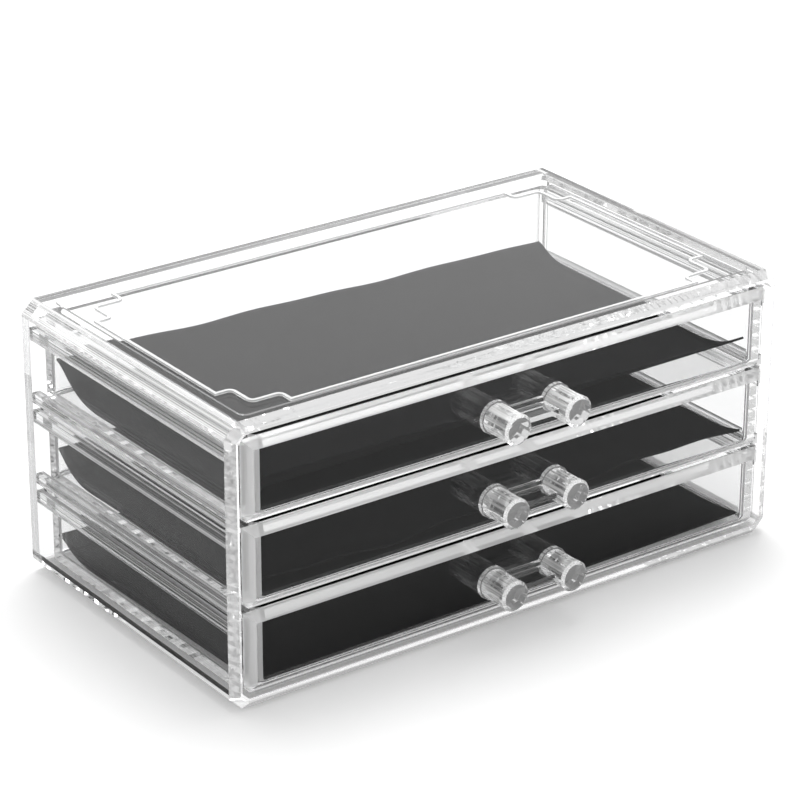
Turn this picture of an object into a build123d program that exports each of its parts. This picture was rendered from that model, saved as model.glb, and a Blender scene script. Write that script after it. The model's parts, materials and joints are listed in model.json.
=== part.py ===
"""Clear three-drawer jewellery organizer: a chamfered case, drawers that hang in side runners, liners."""
import os
from math import acos, degrees, sin

from build123d import *

# Case: overall size, walls and edges (mm)
case_width = 241.0
case_depth = 134.0
case_height = 107.0
side_wall = 3.7
top_wall = 4.0
base_wall = 4.2
back_thickness = 3.0
corner_chamfer = 5.1
opening_chamfer = 3.0
mouth_bevel = 2.9
bond_line = 0.05

# Recess in the top, with its raised rim and stepped bead
rim_side = 9.5
rim_end = 6.2
recess_depth = 2.0
recess_radius = 3.0
bead_margin = 4.3
bead_width = 1.2
bead_height = 0.8
bead_notch = 18.2
bead_step = 6.3
bead_round = 2.2

# Runners that carry the drawer lips, and guards that keep the lips down
runner_width = 3.4
runner_height = 4.8
guard_height = 3.8
runner_lead_in = 1.2
runner_round = 0.5
lip_clearance = 0.3
guard_clearance = 0.6
front_stop_gap = 0.3

# Drawer trays
drawer_names = ("bottom", "middle", "top")
drawer_lift = 0.3
drawer_gap = 1.0
drawer_headroom = 3.1
drawer_shift = 0.7
front_side_gap = 1.4
lip_side_gap = 0.5
runner_gap = 0.4
front_thickness = 3.7
front_bevel = 3.4
floor_drop = 0.8
front_corner = 2.2
tray_wall = 2.2
tray_floor = 2.8
tray_rear_gap = 0.6
tray_rear_radius = 1.5
tray_corner_radius = 4.0
tray_floor_radius = 1.6
lip_thickness = 2.0

# Twin-barrel handles
handle_spacing = 26.5
handle_shift = 1.5
handle_height = 12.8
barrel_length = 14.5
barrel_facets = 16
barrel_radius = 5.7
collar_radius = 6.35
collar_thickness = 1.5
end_disc_radius = 5.8
end_disc_thickness = 2.4
end_disc_bevel = 1.0
web_reach = 10.0
web_thickness = 2.2
spine_height = 5.2
peg_radius = 2.9
peg_clearance = 0.05

# Liner sheets, curled up at the front and rear edges (bottom, middle, top)
liner_thickness = 0.8
liner_side_gap = 1.7
liner_front_gap = 2.6
liner_rear_gap = 2.0
liner_floor_gap = 0.3
liner_front_lift = (1.0, 2.5, 8.0)
liner_rear_lift = (5.5, 9.0, 11.0)
liner_front_bend = 30.0
liner_rear_bend = 18.0

# Places that follow from the sizes above
front_y = -case_depth / 2
rear_y = case_depth / 2
opening_width = case_width - 2 * side_wall
opening_top = case_height - top_wall
opening_height = opening_top - base_wall
recess_width = case_width - 2 * rim_side
recess_length = case_depth - 2 * rim_end
recess_z = case_height - recess_depth
bead_length_x = recess_width - 2 * bead_margin
bead_length_y = recess_length - 2 * bead_margin
back_y = rear_y - back_thickness
front_width = opening_width - 2 * (drawer_shift + front_side_gap)
lip_width = opening_width - 2 * (drawer_shift + lip_side_gap)
tray_width = opening_width - 2 * (runner_width + drawer_shift + runner_gap)
tray_front_y = front_y + front_thickness
tray_rear_y = back_y - tray_rear_gap
runner_front_y = tray_front_y + front_stop_gap
drawer_pitch = (opening_height - drawer_lift - drawer_headroom + drawer_gap) / len(drawer_names)
tray_height = drawer_pitch - drawer_gap
front_height = tray_height - floor_drop
drawer_bottoms = [base_wall + drawer_lift + drawer_pitch * level for level in range(len(drawer_names))]

os.makedirs("parts", exist_ok=True)


def finish(part, name):
    """Label a finished piece and write its STEP file."""
    part.label = name
    export_step(part, f"parts/{name}.step")


# Case shell: an octagonal sleeve with a bevelled mouth, a recessed top and a stepped bead
with BuildPart() as case_shell:
    with BuildSketch(Plane.XZ.offset(-front_y)):
        outline = Rectangle(case_width, case_height, align=(Align.CENTER, Align.MIN))
        chamfer(outline.vertices(), length=corner_chamfer)
    extrude(amount=-case_depth)
    mouth = case_shell.faces().sort_by(Axis.Y)[0].outer_wire()
    chamfer(mouth.edges(), length=mouth_bevel)
    with BuildSketch(Plane.XZ.offset(-front_y)):
        with Locations((0, base_wall)):
            hollow = Rectangle(opening_width, opening_height, align=(Align.CENTER, Align.MIN))
            chamfer(hollow.vertices(), length=opening_chamfer)
    extrude(amount=-case_depth, mode=Mode.SUBTRACT)
    with BuildSketch(Plane.XY.offset(case_height)):
        RectangleRounded(recess_width, recess_length, recess_radius)
    extrude(amount=-recess_depth, mode=Mode.SUBTRACT)
    with BuildSketch(Plane.XY.offset(recess_z)) as bead:
        Rectangle(bead_length_x, bead_length_y)
        with GridLocations(bead_length_x, bead_length_y, 2, 2):
            Rectangle(2 * bead_notch, 2 * bead_step, mode=Mode.SUBTRACT)
            Rectangle(2 * bead_step, 2 * bead_notch, mode=Mode.SUBTRACT)
        side_corners = bead.vertices().group_by(Axis.X)
        end_corners = bead.vertices().group_by(Axis.Y)
        square_corners = side_corners[0] + side_corners[-1] + end_corners[0] + end_corners[-1]
        fillet([corner for corner in bead.vertices() if corner not in square_corners], radius=bead_round)
        offset(amount=bead_width / 2, kind=Kind.INTERSECTION)
        offset(amount=-bead_width, kind=Kind.INTERSECTION, mode=Mode.SUBTRACT)
    extrude(amount=bead_height)
finish(case_shell.part, "case_shell")

# Back panel: bonded inside the rear end of the sleeve
with BuildPart() as back_panel:
    with BuildSketch(Plane.XZ.offset(-back_y)):
        with Locations((0, base_wall + bond_line)):
            panel = Rectangle(opening_width - 2 * bond_line, opening_height - 2 * bond_line,
                              align=(Align.CENTER, Align.MIN))
            chamfer(panel.vertices(), length=opening_chamfer)
    extrude(amount=-back_thickness)
finish(back_panel.part, "back_panel")


def make_strip(name, side, bottom, height):
    """Make one strip bonded along a side wall, with a lead-in at its front end."""
    wall_x = side * (opening_width / 2 - bond_line)
    length = back_y - bond_line - runner_front_y
    with BuildPart() as strip:
        with BuildSketch(Plane((wall_x, runner_front_y, bottom), x_dir=(-side, 0, 0), z_dir=(0, 0, 1))):
            with BuildLine():
                Polyline((0, 0), (runner_width - runner_lead_in, 0), (runner_width, -side * runner_lead_in),
                         (runner_width, -side * length), (0, -side * length), close=True)
            make_face()
        extrude(amount=height)
        inner_edges = strip.edges().filter_by(Axis.Y).group_by(Axis.X)[0 if side > 0 else -1]
        fillet(inner_edges, radius=runner_round)
    finish(strip.part, name)


# Runners below each drawer lip, and guards above the lips of the two lower drawers
for level, drawer in enumerate(drawer_names):
    lip_top = drawer_bottoms[level] + tray_height
    runner_bottom = lip_top - lip_thickness - lip_clearance - runner_height
    for side_name, side in (("left", -1), ("right", 1)):
        make_strip(f"{side_name}_runner_{drawer}", side, runner_bottom, runner_height)
        if level < len(drawer_names) - 1:
            make_strip(f"{side_name}_guard_{drawer}", side, lip_top + guard_clearance, guard_height)

# Drawers: tray, handle and liner at each level
for level, drawer in enumerate(drawer_names):
    bottom = drawer_bottoms[level]
    floor_z = bottom + tray_floor
    front_bottom = bottom + floor_drop
    handle_x = drawer_shift + handle_shift
    axis_z = front_bottom + handle_height
    pocket_width = tray_width - 2 * tray_wall
    pocket_rear = tray_rear_y - tray_wall

    # Tray: walls, floor, bevelled front and side lips in one moulding
    with BuildPart() as tray:
        with BuildSketch(Plane((drawer_shift, tray_front_y, bottom))) as footprint:
            Rectangle(tray_width, tray_rear_y - tray_front_y, align=(Align.CENTER, Align.MIN))
            fillet(footprint.vertices().group_by(Axis.Y)[-1], radius=tray_rear_radius)
        extrude(amount=tray_height)
        with BuildSketch(Plane((drawer_shift, tray_front_y, bottom + tray_height))):
            Rectangle(lip_width, tray_rear_y - tray_front_y - tray_rear_radius,
                      align=(Align.CENTER, Align.MIN))
        extrude(amount=-lip_thickness)
        with BuildSketch(Plane.XZ.offset(-front_y)):
            with Locations((drawer_shift, front_bottom)):
                plate = Rectangle(front_width, front_height, align=(Align.CENTER, Align.MIN))
                chamfer(plate.vertices().group_by(Axis.Y)[0], length=front_corner)
        extrude(amount=-front_thickness)
        chamfer(tray.faces().sort_by(Axis.Y)[0].outer_wire().edges(), length=front_bevel)
        with BuildSketch(Plane((drawer_shift, tray_front_y, floor_z))) as pocket:
            inside = Rectangle(pocket_width, pocket_rear - tray_front_y, align=(Align.CENTER, Align.MIN))
            fillet(inside.vertices(), radius=tray_corner_radius)
        extrude(amount=tray_height, mode=Mode.SUBTRACT)
        pocket_floor = tray.faces().filter_by(Axis.Z).sort_by(SortBy.AREA)[-2]
        fillet(pocket_floor.outer_wire().edges(), radius=tray_floor_radius)
        with BuildSketch(Plane.XZ.offset(-front_y)):
            with Locations((handle_x, axis_z)):
                with GridLocations(handle_spacing, 0, 2, 1):
                    Circle(peg_radius + peg_clearance)
        extrude(amount=-front_thickness, mode=Mode.SUBTRACT)
    finish(tray.part, f"{drawer}_drawer")

    # Handle: two faceted barrels joined by a web and a spine, with pegs through the drawer front
    handle_y = front_y - bond_line
    with BuildPart() as handle:
        with BuildSketch(Plane.XZ.offset(-handle_y)):
            with Locations((handle_x, axis_z)):
                with GridLocations(handle_spacing, 0, 2, 1):
                    RegularPolygon(collar_radius, barrel_facets)
                Rectangle(handle_spacing, spine_height)
        extrude(amount=collar_thickness)
        with BuildSketch(Plane.XZ.offset(-handle_y)):
            with Locations((handle_x, axis_z)):
                with GridLocations(handle_spacing, 0, 2, 1):
                    RegularPolygon(barrel_radius, barrel_facets)
        extrude(amount=barrel_length - end_disc_thickness)
        with BuildSketch(Plane.XZ.offset(-handle_y + barrel_length - end_disc_thickness)):
            with Locations((handle_x, axis_z)):
                with GridLocations(handle_spacing, 0, 2, 1):
                    Circle(end_disc_radius)
        extrude(amount=end_disc_thickness)
        rims = handle.edges().filter_by(GeomType.CIRCLE).group_by(Axis.Y)[0]
        chamfer(rims, length=end_disc_bevel)
        with BuildSketch(Plane.XZ.offset(-handle_y)):
            with Locations((handle_x, axis_z)):
                Rectangle(handle_spacing, web_thickness)
        extrude(amount=web_reach)
        with BuildSketch(Plane.XZ.offset(-handle_y)):
            with Locations((handle_x, axis_z)):
                with GridLocations(handle_spacing, 0, 2, 1):
                    Circle(peg_radius)
        extrude(amount=-front_thickness)
    finish(handle.part, f"{drawer}_handle")

    # Liner: a thin sheet on the drawer floor, curled up along its front and rear edges
    liner_width = pocket_width - 2 * liner_side_gap
    sheet_z = floor_z + liner_floor_gap + liner_thickness / 2
    front_turn = acos(1 - liner_front_lift[level] / liner_front_bend)
    rear_turn = acos(1 - liner_rear_lift[level] / liner_rear_bend)
    flat_front = tray_front_y + liner_front_gap + liner_front_bend * sin(front_turn)
    flat_rear = pocket_rear - liner_rear_gap - liner_rear_bend * sin(rear_turn)
    with BuildPart() as liner:
        with BuildSketch(Plane.YZ.offset(drawer_shift - liner_width / 2)):
            with BuildLine() as curl:
                Line((flat_front, sheet_z), (flat_rear, sheet_z))
                JernArc((flat_front, sheet_z), (-1, 0), liner_front_bend, -degrees(front_turn))
                JernArc((flat_rear, sheet_z), (1, 0), liner_rear_bend, degrees(rear_turn))
            trace(curl.line, line_width=liner_thickness)
        extrude(amount=liner_width)
    finish(liner.part, f"{drawer}_liner")
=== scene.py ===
"""Clear three-drawer jewellery organizer: clear-plastic finishes, curled felt liners, studio and camera."""
import json
import logging
import math
from dataclasses import dataclass, field
from enum import Enum

import bpy
import numpy as np
from mathutils import Matrix, Vector


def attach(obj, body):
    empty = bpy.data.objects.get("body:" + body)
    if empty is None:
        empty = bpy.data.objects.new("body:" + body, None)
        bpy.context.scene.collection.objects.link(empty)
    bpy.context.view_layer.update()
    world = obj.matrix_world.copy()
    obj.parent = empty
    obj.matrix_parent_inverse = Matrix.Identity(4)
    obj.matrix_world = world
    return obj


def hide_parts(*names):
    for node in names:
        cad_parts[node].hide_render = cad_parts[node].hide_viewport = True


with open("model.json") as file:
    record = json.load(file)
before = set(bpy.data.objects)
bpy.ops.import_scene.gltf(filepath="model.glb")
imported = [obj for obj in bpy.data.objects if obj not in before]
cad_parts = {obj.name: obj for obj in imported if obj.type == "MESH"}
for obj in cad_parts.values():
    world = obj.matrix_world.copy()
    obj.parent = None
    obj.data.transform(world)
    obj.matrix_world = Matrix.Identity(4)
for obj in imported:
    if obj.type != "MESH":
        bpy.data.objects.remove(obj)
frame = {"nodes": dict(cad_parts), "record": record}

log = logging.getLogger("organizer")

Pair = tuple[float, float]
Triple = tuple[float, float, float]
Socket = bpy.types.NodeSocket

MM = 0.001
WHITE = (1.0, 1.0, 1.0, 1.0)
WATER_CLEAR = (0.99, 0.991, 0.992)
PLASTIC_IOR = 1.59
# A face looks along an axis where that component of its normal is above this limit.
AXIS_LIMIT = 0.93
NOISE_MIDDLE = 0.5
# Places of the two colours and of the result among the sockets of a Mix node set to colour.
MIX_COLOUR_A, MIX_COLOUR_B, MIX_COLOUR_RESULT = 6, 7, 2
# Share of the background's white taken off, as painted shade, for rays led through a wall by several
# reflections.
GUIDE_PAINTED_SHADE = 0.5
# Pieces of the case with one of these marks in their names are extruded strips.
STRIP_MARKS = ("_runner_", "_guard_")
# Points of a liner's grid across its width and along its length.
LINER_ACROSS, LINER_ALONG = 61, 181
# Waves of a curl's ripple: waves across the width, phase in radians, share.
RIPPLE_WAVES = ((2.6, 0.8, 1.0), (5.3, 2.1, 0.6))
# Share of a curl, next to the edge, over which it relaxes.
RELAX_SHARE = 0.2
FLOOR_POINTS = 3


class Level(Enum):
    """The three drawer levels, named as in the CAD nodes."""

    BOTTOM = "bottom"
    MIDDLE = "middle"
    TOP = "top"


class NodeBoard:
    """The node tree of one material or world, with short ways to add, set and join its nodes."""

    def __init__(self, tree: bpy.types.NodeTree) -> None:
        """Start from an empty node tree.

        Args:
            tree: the node tree to fill.
        """
        self.tree = tree
        self.tree.nodes.clear()

    def feed(self, target: Socket, value: object) -> None:
        """Give an input a link or a constant.

        Args:
            target: the input socket.
            value: an output socket to join to it, or a constant to set on it.
        """
        if isinstance(value, Socket):
            self.tree.links.new(value, target)
        else:
            target.default_value = value

    def add(self, kind: str, **values: object) -> bpy.types.Node:
        """Add one node with its properties and inputs.

        Args:
            kind: the node's type name without the ShaderNode prefix.
            values: node properties, or what feeds the inputs, by socket name with underscores for spaces.

        Returns:
            The new node.
        """
        node = self.tree.nodes.new(f"ShaderNode{kind}")
        for key, value in values.items():
            if hasattr(node, key):
                setattr(node, key, value)
            else:
                self.feed(node.inputs[key.replace("_", " ")], value)
        return node

    def math(self, operation: str, *values: object, clamp: bool = False) -> Socket:
        """Work out one number.

        Args:
            operation: the Math node's operation.
            values: what feeds its inputs, in order.
            clamp: whether the result is kept between 0 and 1.

        Returns:
            The socket with the result.
        """
        node = self.add("Math", operation=operation, use_clamp=clamp)
        for target, value in zip(node.inputs, values):
            self.feed(target, value)
        return node.outputs[0]

    def all_of(self, *conditions: Socket) -> Socket:
        """Join conditions that are 0 or 1.

        Args:
            conditions: the sockets to join.

        Returns:
            A socket that is 1 where all of them are 1, and else 0.
        """
        found = conditions[0]
        for condition in conditions[1:]:
            found = self.math("MULTIPLY", found, condition)
        return found

    def spread(self, value: Socket, low: object, high: object, start: float = 0.0, end: float = 1.0) -> Socket:
        """Carry a number from one range to another and keep it in there.

        Args:
            value: the number.
            low: the result at the start of its range, a socket or a constant.
            high: the result at the end of its range, a socket or a constant.
            start: the start of its range.
            end: the end of its range.

        Returns:
            The socket with the result.
        """
        node = self.add("MapRange", Value=value, From_Min=start, From_Max=end, To_Min=low, To_Max=high)
        return node.outputs["Result"]

    def blend(self, factor: Socket, first: object, second: object) -> Socket:
        """Blend two numbers.

        Args:
            factor: 0 for the first number, 1 for the second.
            first: the first number, a socket or a constant.
            second: the second number, a socket or a constant.

        Returns:
            The socket with the result.
        """
        return self.add("Mix", Factor=factor, A=first, B=second).outputs["Result"]

    def split(self, vector: Socket, size_only: bool = False) -> tuple[Socket, ...]:
        """Take a vector apart.

        Args:
            vector: the socket with the vector.
            size_only: whether the signs are dropped.

        Returns:
            Its X, Y and Z.
        """
        if size_only:
            vector = self.add("VectorMath", operation="ABSOLUTE", Vector=vector).outputs["Vector"]
        return tuple(self.add("SeparateXYZ", Vector=vector).outputs)

    def place(self) -> Socket:
        """Read the place on the piece.

        Returns:
            The socket with the object coordinates.
        """
        return self.add("TexCoord").outputs["Object"]

    def normal(self) -> Socket:
        """Read which way the face looks.

        Returns:
            The socket with the true normal.
        """
        return self.add("NewGeometry").outputs["True Normal"]

    def lines(self, scale: Triple, softness: float, clear: Pair) -> Socket:
        """Vary the clearness in fine lines: a noise stretched along one axis, spread about its middle value.

        Args:
            scale: the noise's scale along X, Y and Z, small along the lines.
            softness: how far from the middle value the clearness stops changing.
            clear: the clearness in the least and in the most clear lines.

        Returns:
            The socket with the clearness.
        """
        stretched = self.add("Mapping", Vector=self.place(), Scale=scale).outputs["Vector"]
        noise = self.add("TexNoise", Vector=stretched, Scale=1.0, Detail=2.0, Roughness=0.6).outputs["Fac"]
        return self.spread(noise, *clear, NOISE_MIDDLE - softness, NOISE_MIDDLE + softness)

    def clear_inside(self, clear: Socket) -> Socket:
        """Keep a surface fully clear for light that meets it from inside the solid.

        Args:
            clear: the clearness of the surface from outside.

        Returns:
            A socket with that clearness from outside and 1 from inside.
        """
        return self.math("MAXIMUM", clear, self.add("NewGeometry").outputs["Backfacing"])


@dataclass(frozen=True)
class Finish:
    """Base of the finishes: a named material made from one shader."""

    name: str

    def shader(self, board: NodeBoard) -> Socket:
        """Build the finish's shader.

        Args:
            board: the node tree to add to.

        Returns:
            The shader's output socket.
        """
        raise NotImplementedError

    def material(self) -> bpy.types.Material:
        """Make the node material.

        Returns:
            The material, with the finish's shader on its surface.
        """
        made = bpy.data.materials.new(self.name)
        made.use_nodes = True
        board = NodeBoard(made.node_tree)
        board.add("OutputMaterial", Surface=self.shader(board))
        return made


@dataclass(frozen=True)
class ClearPlastic(Finish):
    """Finish: water-clear moulded plastic whose bevels and roundings are partly matt white, a painted light-grey
    band that stands in for the light the clear walls carry.

    Attributes:
        tint: colour of the light that passes.
        gloss: share of a plain surface's mirror strength that is left.
        edge_clear: clearness from outside of the bevels and roundings with the painted light-grey band.
        edge_roughness: roughness of the bevels and roundings with the painted light-grey band.
    """

    tint: Triple
    gloss: float
    edge_clear: float
    edge_roughness: float

    def edges(self, board: NodeBoard) -> Socket:
        """Find bevels and roundings, which look along none of the axes.

        Args:
            board: the node tree to add to.

        Returns:
            A socket that is 1 on those surfaces and 0 on faces along the part's axes.
        """
        x, y, z = board.split(board.normal(), size_only=True)
        largest = board.math("MAXIMUM", board.math("MAXIMUM", x, y), z)
        return board.math("LESS_THAN", largest, AXIS_LIMIT)

    def painted_light_faces(self, board: NodeBoard, edge: Socket) -> Socket:
        """Find the surfaces with the painted light-grey band: all bevels and roundings.

        Args:
            board: the node tree to add to.
            edge: the socket that tells bevels and roundings.

        Returns:
            A socket that is 1 on those surfaces and 0 elsewhere.
        """
        return edge

    def outside(self, board: NodeBoard, edge: Socket, painted_sheen: Socket) -> Socket:
        """Work out the clearness from outside.

        Args:
            board: the node tree to add to.
            edge: the socket that tells bevels and roundings.
            painted_sheen: the socket that tells the surfaces with the painted light-grey band.

        Returns:
            The socket with the clearness.
        """
        return board.spread(painted_sheen, 1.0, self.edge_clear)

    def clearness(self, board: NodeBoard, edge: Socket, painted_sheen: Socket) -> Socket:
        """Work out the clearness from both sides: full from inside.

        Args:
            board: the node tree to add to.
            edge: the socket that tells bevels and roundings.
            painted_sheen: the socket that tells the surfaces with the painted light-grey band.

        Returns:
            The socket with the clearness.
        """
        return board.clear_inside(self.outside(board, edge, painted_sheen))

    def shader(self, board: NodeBoard) -> Socket:
        """Build the transmissive shader.

        Args:
            board: the node tree to add to.

        Returns:
            The shader's output socket.
        """
        edge = self.edges(board)
        painted_sheen = self.painted_light_faces(board, edge)
        # Where the clearness is low, the white base colour shows matt: painted light on the bevels and
        # roundings.
        made = board.add("BsdfPrincipled", IOR=PLASTIC_IOR, Base_Color=(*self.tint, 1.0),
                         Specular_Tint=(self.gloss, self.gloss, self.gloss, 1.0),
                         Roughness=board.spread(painted_sheen, 0.0, self.edge_roughness),
                         Transmission_Weight=self.clearness(board, edge, painted_sheen))
        return made.outputs["BSDF"]


@dataclass(frozen=True)
class CasePlastic(ClearPlastic):
    """Finish: clear plastic of the case, less clear on the bead and in lines on the upper side bevels, painted
    light that stands in for the light the walls carry there.

    Attributes:
        bead_reach: half the bead's extent along X and Y in metres.
        bead_foot: height of the bead's foot in metres.
        bead_clear: clearness of the bead from outside.
        shoulder_clear: clearness of the least and the most clear lines on the upper side bevels.
        shoulder_lines: scale of those lines along X, Y and Z.
        shoulder_softness: softness of those lines.
        shoulder_rise: least upward component of those bevels' normals.
        shoulder_tilt: largest component of those bevels' normals along Y.
    """

    bead_reach: Pair
    bead_foot: float
    bead_clear: float
    shoulder_clear: Pair
    shoulder_lines: Triple
    shoulder_softness: float
    shoulder_rise: float = 0.3
    shoulder_tilt: float = 0.05

    def bead(self, board: NodeBoard) -> Socket:
        """Find the bead on the recessed top by its place: above its foot and within its reach.

        Args:
            board: the node tree to add to.

        Returns:
            A socket that is 1 on the bead and 0 elsewhere.
        """
        x, y, z = board.split(board.place(), size_only=True)
        return board.all_of(board.math("GREATER_THAN", z, self.bead_foot),
                            board.math("LESS_THAN", x, self.bead_reach[0]),
                            board.math("LESS_THAN", y, self.bead_reach[1]))

    def shoulders(self, board: NodeBoard, edge: Socket) -> Socket:
        """Work out the clearness of the bevels along the upper sides, which look up and aside.

        Args:
            board: the node tree to add to.
            edge: the socket that tells bevels and roundings.

        Returns:
            A socket with the clearness of those bevels, in lines along Y, and 1 elsewhere.
        """
        _, y, z = board.split(board.normal())
        found = board.all_of(board.math("GREATER_THAN", z, self.shoulder_rise),
                             board.math("COMPARE", y, 0.0, self.shoulder_tilt), edge)
        lined = board.lines(self.shoulder_lines, self.shoulder_softness, self.shoulder_clear)
        return board.blend(found, 1.0, lined)

    def outside(self, board: NodeBoard, edge: Socket, painted_sheen: Socket) -> Socket:
        """Work out the clearness from outside: the least of the bevels' and roundings', the bead's and the upper
        side bevels', each less clear with painted light.

        Args:
            board: the node tree to add to.
            edge: the socket that tells bevels and roundings.
            painted_sheen: the socket that tells the surfaces with the painted light-grey band.

        Returns:
            The socket with the clearness.
        """
        # Painted light: the bead, the bevels and roundings and the upper side bevels turn partly matt white.
        bead = board.spread(self.bead(board), 1.0, self.bead_clear)
        plain = board.math("MINIMUM", super().outside(board, edge, painted_sheen), bead)
        return board.math("MINIMUM", plain, self.shoulders(board, edge))


@dataclass(frozen=True)
class TrayPlastic(ClearPlastic):
    """Finish: clear plastic of a drawer, with the painted light-grey band on the front's bevels only and a
    painted light band in the rounded corners behind it.

    Attributes:
        painted_light_end: Y in metres behind which bevels and roundings are as clear as the walls.
        corner_side: distance in metres from the middle, along X, beyond which the corners with the painted light
            band lie.
        corner_depth: Y of the corners with the painted light band and their reach to both sides of it, in
            metres.
        corner_clear: clearness of those corners from both sides; below 1 they show matt white, painted light.
    """

    painted_light_end: float
    corner_side: float
    corner_depth: Pair
    corner_clear: float

    def painted_light_faces(self, board: NodeBoard, edge: Socket) -> Socket:
        """Find the surfaces with the painted light-grey band: the bevels and roundings in front of its end.

        Args:
            board: the node tree to add to.
            edge: the socket that tells bevels and roundings.

        Returns:
            A socket that is 1 on those surfaces and 0 elsewhere.
        """
        _, y, _ = board.split(board.place())
        return board.all_of(board.math("LESS_THAN", y, self.painted_light_end), edge)

    def corners(self, board: NodeBoard, edge: Socket) -> Socket:
        """Find the rounded inner corners behind the front, which get a painted light band, by their place: far
        to a side, just behind it.

        Args:
            board: the node tree to add to.
            edge: the socket that tells bevels and roundings.

        Returns:
            A socket that is 1 on those corners and 0 elsewhere.
        """
        x, y, _ = board.split(board.place())
        return board.all_of(board.math("GREATER_THAN", board.math("ABSOLUTE", x), self.corner_side),
                            board.math("COMPARE", y, *self.corner_depth), edge)

    def clearness(self, board: NodeBoard, edge: Socket, painted_sheen: Socket) -> Socket:
        """Work out the clearness from both sides: full from inside, but not in the corners with the painted
        light band.

        Args:
            board: the node tree to add to.
            edge: the socket that tells bevels and roundings.
            painted_sheen: the socket that tells the surfaces with the painted light-grey band.

        Returns:
            The socket with the clearness.
        """
        # Painted light: the rounded corners turn matt white from both sides.
        painted_band = board.spread(self.corners(board, edge), 1.0, self.corner_clear)
        return board.math("MINIMUM", super().clearness(board, edge, painted_sheen), painted_band)


@dataclass(frozen=True)
class PaintedLinesPlastic(Finish):
    """Finish: clear plastic with fine lines along Y and end faces that are partly matt white, painted light that
    stands in for light carried inside the clear plastic.

    Attributes:
        tint: colour of the light that passes.
        gloss: share of a plain surface's mirror strength that is left.
        roughness: roughness of the surface.
        clear: clearness of the least and the most clear lines from outside.
        painted_lines: scale of the lines along X, Y and Z.
        softness: softness of the lines.
        end_clear: clearness of the end faces from outside.
    """

    tint: Triple
    gloss: float
    roughness: float
    clear: Pair
    painted_lines: Triple
    softness: float
    end_clear: float

    def outside(self, board: NodeBoard) -> Socket:
        """Work out the clearness from outside: in lines, and even on the end faces, which look along Y.

        Args:
            board: the node tree to add to.

        Returns:
            The socket with the clearness.
        """
        _, y, _ = board.split(board.normal(), size_only=True)
        end = board.math("GREATER_THAN", y, AXIS_LIMIT)
        return board.blend(end, board.lines(self.painted_lines, self.softness, self.clear), self.end_clear)

    def shader(self, board: NodeBoard) -> Socket:
        """Build the transmissive shader.

        Args:
            board: the node tree to add to.

        Returns:
            The shader's output socket.
        """
        # Painted light: the less clear lines and end faces show matt white.
        made = board.add("BsdfPrincipled", IOR=PLASTIC_IOR, Base_Color=(*self.tint, 1.0),
                         Specular_Tint=(self.gloss, self.gloss, self.gloss, 1.0),
                         Roughness=self.roughness,
                         Transmission_Weight=board.clear_inside(self.outside(board)))
        return made.outputs["BSDF"]


@dataclass(frozen=True)
class HandlePlastic(PaintedLinesPlastic):
    """Finish: clear plastic of a handle with the painted light lines, whose web between the barrels has no
    lines.

    Attributes:
        plain_centre: X of the web's middle in metres.
        plain_reach: half the web's width in metres.
    """

    plain_centre: float
    plain_reach: float

    def outside(self, board: NodeBoard) -> Socket:
        """Work out the clearness from outside: in lines on the barrels and full on the web.

        Args:
            board: the node tree to add to.

        Returns:
            The socket with the clearness.
        """
        x, _, _ = board.split(board.place())
        web = board.math("COMPARE", x, self.plain_centre, self.plain_reach)
        return board.math("MAXIMUM", super().outside(board), web)


@dataclass(frozen=True)
class LinerFelt(Finish):
    """Finish: thin charcoal felt with a fine nap and slight shade variation.

    Attributes:
        dark: colour of the darkest spots.
        light: colour of the lightest spots.
        nap_size: size of the nap in metres.
        nap_depth: depth of the nap in metres.
        nap_strength: strength of the nap's bump.
        cloud_scale: scale of the shade variation.
        roughness: roughness of the surface.
    """

    dark: Triple
    light: Triple
    nap_size: float
    nap_depth: float
    nap_strength: float = 0.6
    cloud_scale: float = 22.0
    roughness: float = 0.9

    def shader(self, board: NodeBoard) -> Socket:
        """Build the rough dark shader with its fine fibre bump.

        Args:
            board: the node tree to add to.

        Returns:
            The shader's output socket.
        """
        place = board.place()
        nap = board.add("TexNoise", Vector=place, Scale=1.0 / self.nap_size, Detail=4.0, Roughness=0.65)
        cloud = board.add("TexNoise", Vector=place, Scale=self.cloud_scale, Detail=2.0)
        shade = board.add("Mix", data_type="RGBA", Factor=cloud.outputs["Fac"])
        board.feed(shade.inputs[MIX_COLOUR_A], (*self.dark, 1.0))
        board.feed(shade.inputs[MIX_COLOUR_B], (*self.light, 1.0))
        bump = board.add("Bump", Strength=self.nap_strength, Distance=self.nap_depth, Height=nap.outputs["Fac"])
        made = board.add("BsdfPrincipled", Base_Color=shade.outputs[MIX_COLOUR_RESULT], Roughness=self.roughness,
                         Specular_IOR_Level=0.0, Normal=bump.outputs["Normal"])
        return made.outputs["BSDF"]


def mirrored_once(board: NodeBoard) -> Socket:
    """Tell rays that were mirrored just once on their way from the camera.

    Args:
        board: the node tree to add to.

    Returns:
        A socket that is 1 for such rays and 0 for the others.
    """
    return board.math("COMPARE", board.add("LightPath").outputs["Glossy Depth"], 1.0, 0.5)


def straight_view(board: NodeBoard) -> Socket:
    """Tell rays that reach the background from the camera or by way of the clear walls.

    Args:
        board: the node tree to add to.

    Returns:
        A socket that is 1 for such rays, less by the painted guide shade for rays led through a wall by several
        reflections, and 0 for rays mirrored once or scattered.
    """
    path = board.add("LightPath").outputs
    seen = board.math("MAXIMUM", path["Is Camera Ray"], path["Is Transmission Ray"])
    seen = board.math("MAXIMUM", seen, path["Is Glossy Ray"])
    dimmed = board.math("MAXIMUM", mirrored_once(board), path["Diffuse Depth"])
    guided = board.math("GREATER_THAN", path["Glossy Depth"], 1.5)
    # Painted shade: rays led through a wall by several reflections see the background greyer.
    dim_and_painted_shade = board.math("MULTIPLY_ADD", guided, GUIDE_PAINTED_SHADE, dimmed)
    return board.math("SUBTRACT", seen, dim_and_painted_shade, clamp=True)


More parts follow.
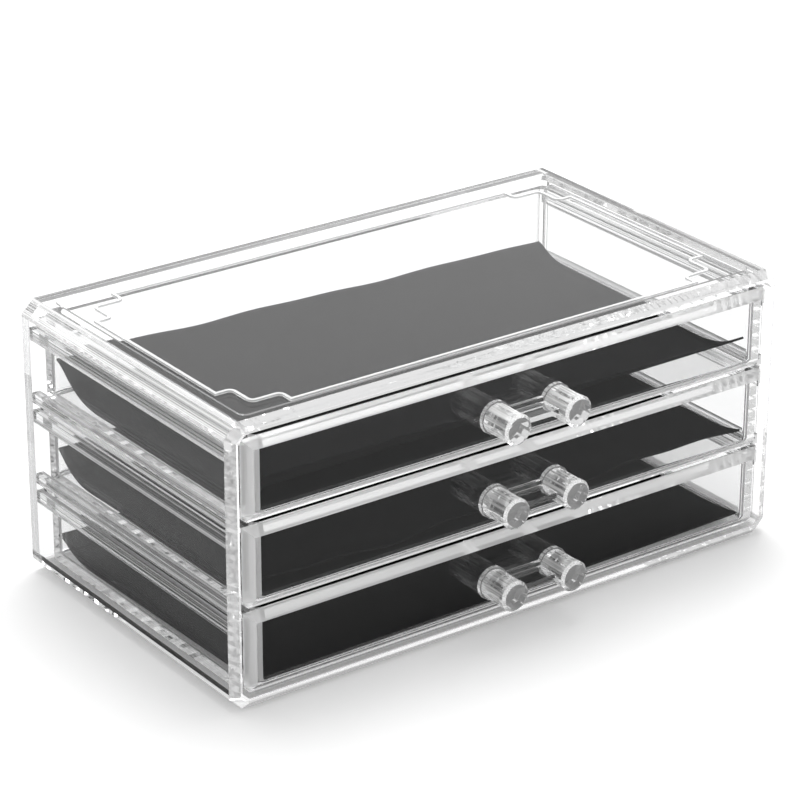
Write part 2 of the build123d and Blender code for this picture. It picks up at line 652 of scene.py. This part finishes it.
@dataclass(frozen=True)
class FloorPaper(Finish):
    """Finish: pale paper that keeps the object's shadow, looks white to the camera and is darker for rays
    mirrored once, a painted shade on its reflection in the clear walls.

    Attributes:
        shade: the paper's lightness.
        painted_reflection_shade: its lightness for rays mirrored once, painted shade.
        lift: light that the straight view adds.
    """

    shade: float
    painted_reflection_shade: float
    lift: float

    def shader(self, board: NodeBoard) -> Socket:
        """Build the matt shader with its added light.

        Args:
            board: the node tree to add to.

        Returns:
            The shader's output socket.
        """
        # Painted shade: the paper is darker where the clear walls mirror it.
        paper = board.add("BsdfDiffuse", Color=board.spread(mirrored_once(board), self.shade, self.painted_reflection_shade))
        glow = board.add("Emission", Color=WHITE, Strength=board.spread(straight_view(board), 0.0, self.lift))
        both = board.add("AddShader")
        for target, part in zip(both.inputs, (paper, glow)):
            board.feed(target, part.outputs[0])
        return both.outputs[0]


# The less clear parts of these finishes show matt white: painted light that stands in for light carried inside
# the clear plastic.
CASE_CLEAR = CasePlastic(
    "case_clear", tint=WATER_CLEAR, gloss=0.05, edge_clear=0.8, edge_roughness=0.03,
    bead_reach=(0.109, 0.0588), bead_foot=0.1051, bead_clear=0.3,
    shoulder_clear=(0.2, 0.9), shoulder_lines=(2600.0, 1.5, 2600.0), shoulder_softness=0.05)
DRAWER_CLEAR = TrayPlastic(
    "drawer_clear", tint=WATER_CLEAR, gloss=0.8, edge_clear=0.42, edge_roughness=0.04,
    painted_light_end=-0.0632, corner_side=0.1052, corner_depth=(-0.0612, 0.0021), corner_clear=0.0)
HANDLE_CLEAR = HandlePlastic(
    "handle_clear", tint=WATER_CLEAR, gloss=0.6, roughness=0.03, clear=(0.25, 0.85),
    painted_lines=(900.0, 6.0, 900.0), softness=0.13, end_clear=0.75, plain_centre=0.0022, plain_reach=0.0072)
RAIL_CLEAR = PaintedLinesPlastic(
    "rail_clear", tint=(0.98, 0.981, 0.983), gloss=0.1, roughness=0.0, clear=(0.1, 1.0),
    painted_lines=(2600.0, 1.5, 2600.0), softness=0.03, end_clear=0.5)
CHARCOAL_FELT = LinerFelt(
    "charcoal_felt", dark=(0.012, 0.012, 0.0123), light=(0.018, 0.018, 0.0185),
    nap_size=0.0006, nap_depth=0.0001)
FLOOR_PAPER = FloorPaper("studio_floor", shade=0.78, painted_reflection_shade=0.21, lift=0.26)


def smooth_step(t: np.ndarray) -> np.ndarray:
    """Ease from 0 to 1 with level ends: 3t^2 - 2t^3 on t clipped to the unit range.

    Args:
        t: any numbers.

    Returns:
        The eased numbers.
    """
    t = np.clip(t, 0.0, 1.0)
    return t * t * (3.0 - 2.0 * t)


def grid_faces(rows: int, columns: int) -> np.ndarray:
    """Quads of a grid of points stored row by row.

    Args:
        rows: points along the first parameter.
        columns: points along the second parameter.

    Returns:
        An array of four point numbers for each quad.
    """
    index = np.arange(rows * columns).reshape(rows, columns)
    corners = (index[:-1, :-1], index[1:, :-1], index[1:, 1:], index[:-1, 1:])
    return np.stack([c.ravel() for c in corners], axis=1)


def mesh_object(name: str, points: np.ndarray) -> bpy.types.Object:
    """Make a smooth-shaded object at the origin from a grid of points.

    Args:
        name: the object's name.
        points: rows by columns by 3 coordinates in metres.

    Returns:
        The new object, linked to the scene.
    """
    rows, columns = points.shape[:2]
    mesh = bpy.data.meshes.new(name)
    mesh.from_pydata(points.reshape(-1, 3).tolist(), [], grid_faces(rows, columns).tolist())
    mesh.polygons.foreach_set("use_smooth", np.ones(len(mesh.polygons), dtype=bool))
    mesh.update()
    made = bpy.data.objects.new(name, mesh)
    bpy.context.scene.collection.objects.link(made)
    return made


def set_material(piece: bpy.types.Object, material: bpy.types.Material) -> None:
    """Give every material slot of a piece one material.

    Args:
        piece: the piece to dress.
        material: its material.
    """
    if not piece.material_slots:
        piece.data.materials.append(material)
    for slot in piece.material_slots:
        slot.material = material


@dataclass(frozen=True)
class Curl:
    """How one edge of a sheet curls up.

    Attributes:
        turn: turn in degrees at the left and the right end of the edge.
        reach: reach in mm at the left and the right end of the edge.
        relax: share of the turn that falls back next to the edge.
        ripple: how much the turn ripples along the edge.
    """

    turn: Pair
    reach: Pair
    relax: float = 0.0
    ripple: float = 0.0

    def slope(self, u: np.ndarray, inward: np.ndarray) -> np.ndarray:
        """Slope angle of the curl over the sheet.

        The slope eases up from zero at the curl's reach to its turn at the edge; over the last fifth it falls
        back by the relax share. Turn and reach change linearly from left to right, and the turn ripples along
        the edge as a sum of two sines.

        Args:
            u: place across the width, 0 at the left and 1 at the right, as a column.
            inward: distance from the edge along the sheet in mm, one row for each u.

        Returns:
            Slope angles in radians, rising towards the edge.
        """
        reach = self.reach[0] + (self.reach[1] - self.reach[0]) * u
        turn = np.radians(self.turn[0] + (self.turn[1] - self.turn[0]) * u)
        wave = sum(share * np.sin(2.0 * math.pi * waves * u + phase) for waves, phase, share in RIPPLE_WAVES)
        t = 1.0 - inward / reach
        fall = self.relax * smooth_step((t - (1.0 - RELAX_SHARE)) / RELAX_SHARE)
        return turn * (1.0 + self.ripple * wave) * (smooth_step(t) - fall)


@dataclass
class Liner:
    """A felt sheet laid in a drawer, its front and rear edges curled up (sizes in mm, yaw in degrees).

    Attributes:
        level: the drawer it lies in.
        floor_z: height of the drawer's floor.
        length: flat length along the left and the right edge.
        front: curl of the front edge.
        rear: curl of the rear edge.
        front_y: Y of the front edge.
        yaw: turn of the sheet in plan.
        centre_x: X of the sheet's middle.
        width: flat width.
        trim: how far the left and the right edge are cut in at the front.
        side_lift: how far the side edges lift off the floor.
        thickness: thickness of the felt.
        floor_gap: gap between the floor and the sheet.
    """

    level: Level
    floor_z: float
    length: Pair
    front: Curl
    rear: Curl
    front_y: float = -60.4
    yaw: float = 0.0
    centre_x: float = 0.7
    width: float = 216.8
    trim: Pair = (1.8, 0.0)
    side_lift: float = 0.5
    thickness: float = 0.8
    floor_gap: float = 0.3

    def surface(self) -> np.ndarray:
        """Middle surface of the sheet.

        The section along the sheet is the running integral of the cosine and sine of its slope angle, so its
        length is kept: flat in the middle, curled at both ends. The side edges are cut slantwise, in by trim at
        the front, and lift off the floor with the square of the distance from the middle. The whole sheet is
        turned by yaw in plan.

        Returns:
            Points of a grid, rows across the width and columns along the length, in metres.
        """
        u = np.linspace(0.0, 1.0, LINER_ACROSS)[:, None]
        length = self.length[0] + (self.length[1] - self.length[0]) * u
        s = length * np.linspace(0.0, 1.0, LINER_ALONG)[None, :]
        angle = self.rear.slope(u, length - s) - self.front.slope(u, s)
        step = length / (LINER_ALONG - 1)
        y = np.cumsum(np.cos(angle), axis=1) * step
        z = np.cumsum(np.sin(angle), axis=1) * step
        middle = LINER_ALONG // 2
        y = y - y[:, :1] + self.front_y
        z = z - z[:, middle:middle + 1] + self.floor_z + self.floor_gap + self.thickness / 2
        z = z + self.side_lift * (2.0 * u - 1.0) ** 2
        cut = (1.0 - u) * self.trim[0] - u * self.trim[1]
        x = (u - 0.5) * self.width + cut * (1.0 - s / length)
        turn = math.radians(self.yaw)
        turned_x = x * math.cos(turn) - y * math.sin(turn) + self.centre_x
        turned_y = x * math.sin(turn) + y * math.cos(turn)
        return np.stack([turned_x, turned_y, z], axis=-1) * MM

    def build(self, finish: bpy.types.Material) -> bpy.types.Object:
        """Args:
            finish: the felt material.

        Returns:
            The liner object.
        """
        sheet = mesh_object(f"{self.level.value}_liner_sheet", self.surface())
        thicken = sheet.modifiers.new("thickness", "SOLIDIFY")
        thicken.thickness = self.thickness * MM
        thicken.offset = 0.0
        set_material(sheet, finish)
        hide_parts(f"{self.level.value}_liner")
        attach(sheet, f"{self.level.value}_drawer_set")
        return sheet


LINERS = (
    Liner(Level.BOTTOM, floor_z=7.3, length=(124.2, 122.7),
          front=Curl(turn=(0.5, 9.0), reach=(24.0, 24.0)),
          rear=Curl(turn=(32.0, 20.0), reach=(25.0, 18.0), relax=0.4),
          front_y=-62.3, yaw=0.25, centre_x=0.0, trim=(1.8, 1.5)),
    Liner(Level.MIDDLE, floor_z=39.43, length=(124.0, 121.5),
          front=Curl(turn=(26.0, 26.0), reach=(21.0, 16.5), ripple=0.25),
          rear=Curl(turn=(46.0, 40.0), reach=(26.0, 18.0), relax=0.1),
          yaw=0.5, centre_x=0.2),
    Liner(Level.TOP, floor_z=71.57, length=(127.0, 123.6),
          front=Curl(turn=(56.0, 32.0), reach=(25.0, 31.0)),
          rear=Curl(turn=(44.0, 36.0), reach=(34.0, 19.0), relax=0.5, ripple=0.06),
          centre_x=0.9, trim=(1.8, 1.4)),
)


@dataclass
class Drawer:
    """One drawer: its clear tray, its clear handle and its liner."""

    liner: Liner

    def build(self, tray: bpy.types.Material, handle: bpy.types.Material, felt: bpy.types.Material) -> None:
        """Dress the tray and the handle, and lay the liner.

        Args:
            tray: the tray's clear finish.
            handle: the handle's clear finish.
            felt: the liner's finish.
        """
        for kind, finish in (("drawer", tray), ("handle", handle)):
            name = f"{self.liner.level.value}_{kind}"
            set_material(frame["nodes"][name], finish)
            log.info("%s dressed", name)
        sheet = self.liner.build(felt)
        log.info("%s laid", sheet.name)


@dataclass
class Case:
    """The sleeve, the back panel and the strips bonded to the side walls."""

    nodes: list[str] = field(default_factory=lambda: list(frame["record"]["behaviour"]["bodies"]["case"]))

    def build(self, wall: bpy.types.Material, rail: bpy.types.Material) -> None:
        """Dress every node of the case.

        Args:
            wall: the clear finish of the sleeve and the back panel.
            rail: the finish of the runners and guards, with painted light lines.
        """
        for name in self.nodes:
            strip = any(mark in name for mark in STRIP_MARKS)
            set_material(frame["nodes"][name], rail if strip else wall)
            log.info("%s dressed", name)


@dataclass
class Surround:
    """A plain surround, white where the camera or a clear wall looks at it and softer as a light.

    Attributes:
        light: its strength as a light.
        mirror: its strength for rays mirrored once.
        ceiling: its strength overhead, where a clear wall looks at it.
        ceiling_rise: upward component of the direction where the ceiling's dimming starts and ends.
    """

    light: float = 0.72
    mirror: float = 0.85
    ceiling: float = 0.6
    ceiling_rise: Pair = (0.1, 0.6)

    def build(self) -> None:
        """Make the world."""
        room = bpy.data.worlds.new("studio_surround")
        bpy.context.scene.world = room
        room.use_nodes = True
        board = NodeBoard(room.node_tree)
        _, _, height = board.split(board.add("TexCoord").outputs["Generated"])
        white = board.spread(height, 1.0, self.ceiling, *self.ceiling_rise)
        soft = board.spread(mirrored_once(board), self.light, self.mirror)
        level = board.spread(straight_view(board), soft, white)
        shine = board.add("Background", Color=WHITE, Strength=level)
        board.add("OutputWorld", Surface=shine.outputs[0])


@dataclass
class SoftLamp:
    """A square soft lamp: place, aim and side in metres, power in watts."""

    name: str
    place: Triple
    side: float
    power: float
    aim: Triple = (0.0, 0.0, 0.05)

    def build(self) -> None:
        """Hang the lamp at its place and point it at its aim."""
        light = bpy.data.lights.new(self.name, "AREA")
        light.shape = "SQUARE"
        light.size = self.side
        light.energy = self.power
        lamp = bpy.data.objects.new(self.name, light)
        lamp.location = self.place
        ahead = Vector(self.aim) - Vector(self.place)
        lamp.rotation_euler = ahead.to_track_quat("-Z", "Y").to_euler()
        bpy.context.scene.collection.objects.link(lamp)


@dataclass
class Studio:
    """A pale floor, a soft overhead lamp and a white surround (sizes in metres).

    Attributes:
        surround: the surround.
        overhead: the lamp.
        floor_size: side of the floor.
        floor_drop: how far the floor lies under the base.
        clear_bounces: bounces allowed through clear walls.
        matt_bounces: bounces allowed between matt surfaces.
    """

    surround: Surround = field(default_factory=Surround)
    overhead: SoftLamp = field(
        default_factory=lambda: SoftLamp("overhead_softbox", place=(0.2, 0.35, 1.3), side=0.9, power=14.0))
    floor_size: float = 6.0
    floor_drop: float = 0.0002
    clear_bounces: int = 256
    matt_bounces: int = 6

    def floor(self) -> None:
        """Lay the floor: a flat square grid in a plane just under the base."""
        ticks = np.linspace(-0.5, 0.5, FLOOR_POINTS) * self.floor_size
        x, y = np.meshgrid(ticks, ticks, indexing="ij")
        ground = mesh_object("studio_floor", np.stack([x, y, np.full_like(x, -self.floor_drop)], axis=-1))
        set_material(ground, FLOOR_PAPER.material())

    def build(self) -> None:
        """Set floor, surround and lamp, and allow light through many clear walls."""
        self.floor()
        self.surround.build()
        self.overhead.build()
        cycles = bpy.context.scene.cycles
        cycles.max_bounces = self.clear_bounces
        cycles.transmission_bounces = self.clear_bounces
        cycles.glossy_bounces = self.clear_bounces
        cycles.diffuse_bounces = self.matt_bounces
        bpy.context.scene.view_settings.view_transform = "Standard"
        log.info("studio set")


@dataclass
class PhotoCamera:
    """The photograph's camera.

    Attributes:
        place: its place in mm.
        aim: the point it looks at, in mm.
        roll: turn of the image about the line of sight, in degrees.
        focal_pixels: focal length in pixels of the frame.
        frame_pixels: width of the frame in pixels.
        sensor_width: width of the sensor in mm.
        far: distance in metres beyond which nothing is drawn.
    """

    place: Triple = (-651.8, -890.0, 555.9)
    aim: Triple = (-7.553, -7.0, 65.902)
    roll: float = 0.183
    focal_pixels: float = 3307.57
    frame_pixels: float = 800.0
    sensor_width: float = 36.0
    far: float = 20.0

    def build(self) -> None:
        """Place the camera: look from place to aim, with the image turned by roll about that line."""
        data = bpy.data.cameras.new("photo_camera")
        data.sensor_fit = "HORIZONTAL"
        data.sensor_width = self.sensor_width
        data.lens = self.sensor_width * self.focal_pixels / self.frame_pixels
        data.clip_end = self.far
        eye = Vector(self.place) * MM
        ahead = (Vector(self.aim) * MM - eye).normalized()
        level = ahead.cross(Vector((0.0, 0.0, 1.0))).normalized()
        above = level.cross(ahead)
        turn = math.radians(self.roll)
        right = level * math.cos(turn) + above * math.sin(turn)
        up = above * math.cos(turn) - level * math.sin(turn)
        camera = bpy.data.objects.new("photo_camera", data)
        camera.matrix_world = Matrix((
            (right.x, up.x, -ahead.x, eye.x),
            (right.y, up.y, -ahead.y, eye.y),
            (right.z, up.z, -ahead.z, eye.z),
            (0.0, 0.0, 0.0, 1.0)))
        bpy.context.scene.collection.objects.link(camera)
        bpy.context.scene.camera = camera
        log.info("camera placed")


def main() -> None:
    """Build the studio, the camera and every dressed piece in order."""
    logging.basicConfig(level=logging.INFO, format="%(name)s: %(message)s")
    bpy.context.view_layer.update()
    Studio().build()
    PhotoCamera().build()
    Case().build(CASE_CLEAR.material(), RAIL_CLEAR.material())
    tray, handle, felt = DRAWER_CLEAR.material(), HANDLE_CLEAR.material(), CHARCOAL_FELT.material()
    for liner in LINERS:
        Drawer(liner).build(tray, handle, felt)


if __name__ == "__main__":
    main()
